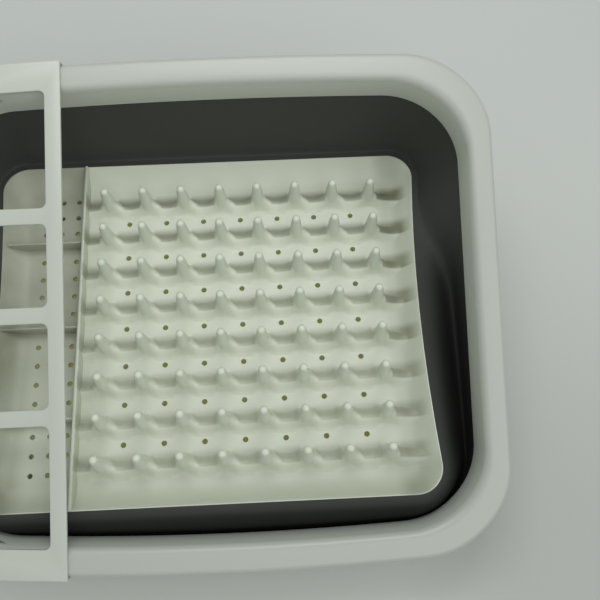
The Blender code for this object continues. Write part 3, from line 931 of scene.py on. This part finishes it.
# The two end windows have a wide corner each, which follows the rim's
def makeWindows(half):
    tops = [half - grid["endBar"]] + [y - grid["bar"] / 2 for y in grid["bars"]]
    lows = [y + grid["bar"] / 2 for y in grid["bars"]] + [grid["endBar"] - half]
    left, right = grid["leftBar"] - rim["halfLength"], grid["right"] - grid["strut"]
    windows = []
    for top, low in zip(tops, lows):
        corners = {(a, b): grid["corner"] for a in (-1, 1) for b in (-1, 1)}
        if top == tops[0]:
            corners[(-1, 1)] = grid["bigCorner"]
        if low == lows[-1]:
            corners[(-1, -1)] = grid["bigCorner"]
        windows.append(roundedPlate(left, right, low, top, corners, grid["cutFrom"], grid["cutThick"]))
    return joinAll(windows, "openings")


def makeGrid():
    reach, depth, shift = grid["clear"] + grid["lip"], grid["lipDepth"], grid["lip"]
    left, half = -rim["halfLength"] - reach, rim["halfWidth"] + reach
    outer, inner = rim["corner"] + reach, rim["corner"] + grid["clear"]
    radii = {(-1, 1): outer, (-1, -1): outer}
    plate = roundedPlate(left, grid["right"], -half, half, radii, grid["clear"], grid["thick"])
    lip = roundedPlate(left, grid["right"], -half, half, radii, -depth,
                       depth + grid["clear"] + grid["thick"] / 2)
    core = roundedPlate(left + shift, grid["right"] + shift, -half + shift, half - shift,
                        {(-1, 1): inner, (-1, -1): inner}, -depth * 2, depth * 2 + grid["clear"])
    cutWith(lip, core)
    cutWith(plate, lip, "UNION")
    cutWith(plate, makeWindows(half))
    plate.name = "grid"
    editAll(plate)
    bpy.ops.mesh.dissolve_limited(angle_limit=grid["flat"])
    objectMode()
    roundEdges(plate, grid["round"])
    for vertex in plate.data.vertices:
        if vertex.co.x > grid["skewFrom"]:
            vertex.co.x += grid["skew"] * (vertex.co.y + grid["skewAbout"])
        vertex.co.y = sideSag(vertex.co.x, vertex.co.y)
    plate.data.transform(rimPlace)
    facesOut(plate, grid["merge"])
    softShade(plate)
    dress(plate, gridPaint, "grid", ("cutlery_grid",))


makeGrid()
print("grid made")


# Camera, from the tray's centre
view = {"place": (0.0472527, -0.1726933, 0.5046171), "turn": (20.4819, -0.3458, -2.7463),
        "lens": 48.273, "sensor": 36, "clip": 0.01}

bpy.ops.object.select_all(action="DESELECT")
bpy.ops.object.camera_add(location=trayCentre + Vector(view["place"]),
                          rotation=[math.radians(angle) for angle in view["turn"]])
camera = bpy.context.object
camera.data.lens = view["lens"]
camera.data.sensor_width = view["sensor"]
camera.data.clip_start = view["clip"]
bpy.context.scene.camera = camera


# Painted glow: below the drain holes the floor gives off a little light, so that they look olive as the real
# ones do
# Painted light and shadow on the floor: lighter towards the front, and a painted shadow at the front right
floorLook = {"size": 6, "level": ((0.60, 0.63, 0.59, 1), (0.53, 0.56, 0.54, 1)),
             "levelFrom": (-0.25, 0.30), "side": (0.46, 0.485, 0.465, 1),
             "sideFrom": (0.10, 0.20), "sideTo": (0.15, -0.15),
             "glowLength": 0.130, "glowWidth": 0.106, "glowPower": 6, "glowFrom": (1.0, 0.85),
             "glow": (0.10, 0.105, 0.035, 1), "roughness": 0.9}


def floorSurface():
    paint, look = Paint("floor"), floorLook
    x, y = paint.along("X"), paint.along("Y")
    # Painted light: the floor is lighter towards the front, and darker at the front right as painted shadow
    level = paint.blend(paint.fade(y, *look["levelFrom"]), *look["level"])
    side = paint.fade(x, *look["sideFrom"]) * paint.fade(y, *look["sideTo"])
    # Painted glow under the tray, given off by the floor itself
    across = (x - trayCentre.x) / look["glowLength"]
    deep = (y - trayCentre.y) / look["glowWidth"]
    power = look["glowPower"]
    under = paint.fade(across ** power + deep ** power, *look["glowFrom"])
    glow = paint.blend(under, (0, 0, 0, 1), look["glow"])
    paint.feed(paint.shader.inputs["Emission Color"], glow)
    paint.feed(paint.shader.inputs["Emission Strength"], 1)
    return paint.finish(paint.blend(side, level, look["side"]), look["roughness"])


bpy.ops.mesh.primitive_plane_add(size=floorLook["size"], location=(0, 0, 0))
floor = bpy.context.object
floor.name = "floor"
floor.data.materials.append(floorSurface())


# A wide sun stands for the window, and a lamp lights the far end
window = {"from": (0.42, -0.48, 0.77), "strength": 0.95, "spread": 60}
farLamp = {"place": (0.05, 0.30, 0.85), "aim": (0.0, 0.15, 0), "size": (0.5, 0.4), "power": 2.2}
sky = {"colour": (0.97, 1.0, 0.96, 1), "strength": 0.46}


def aimLamp(name, direction):
    lamp = bpy.context.object
    lamp.name = name
    lamp.rotation_euler = direction.to_track_quat("-Z", "Y").to_euler()
    return lamp.data


bpy.ops.object.light_add(type="SUN", location=Vector(window["from"]) * 2)
light = aimLamp("window", -Vector(window["from"]))
light.energy = window["strength"]
light.angle = math.radians(window["spread"])

bpy.ops.object.light_add(type="AREA", location=farLamp["place"])
light = aimLamp("far lamp", Vector(farLamp["aim"]) - Vector(farLamp["place"]))
light.shape = "RECTANGLE"
light.size, light.size_y = farLamp["size"]
light.energy = farLamp["power"]

world = bpy.data.worlds.new("studio")
bpy.context.scene.world = world
world.use_nodes = True
world.node_tree.nodes["Background"].inputs["Color"].default_value = sky["colour"]
world.node_tree.nodes["Background"].inputs["Strength"].default_value = sky["strength"]
bpy.context.scene.view_settings.view_transform = "Standard"
print("stage set")
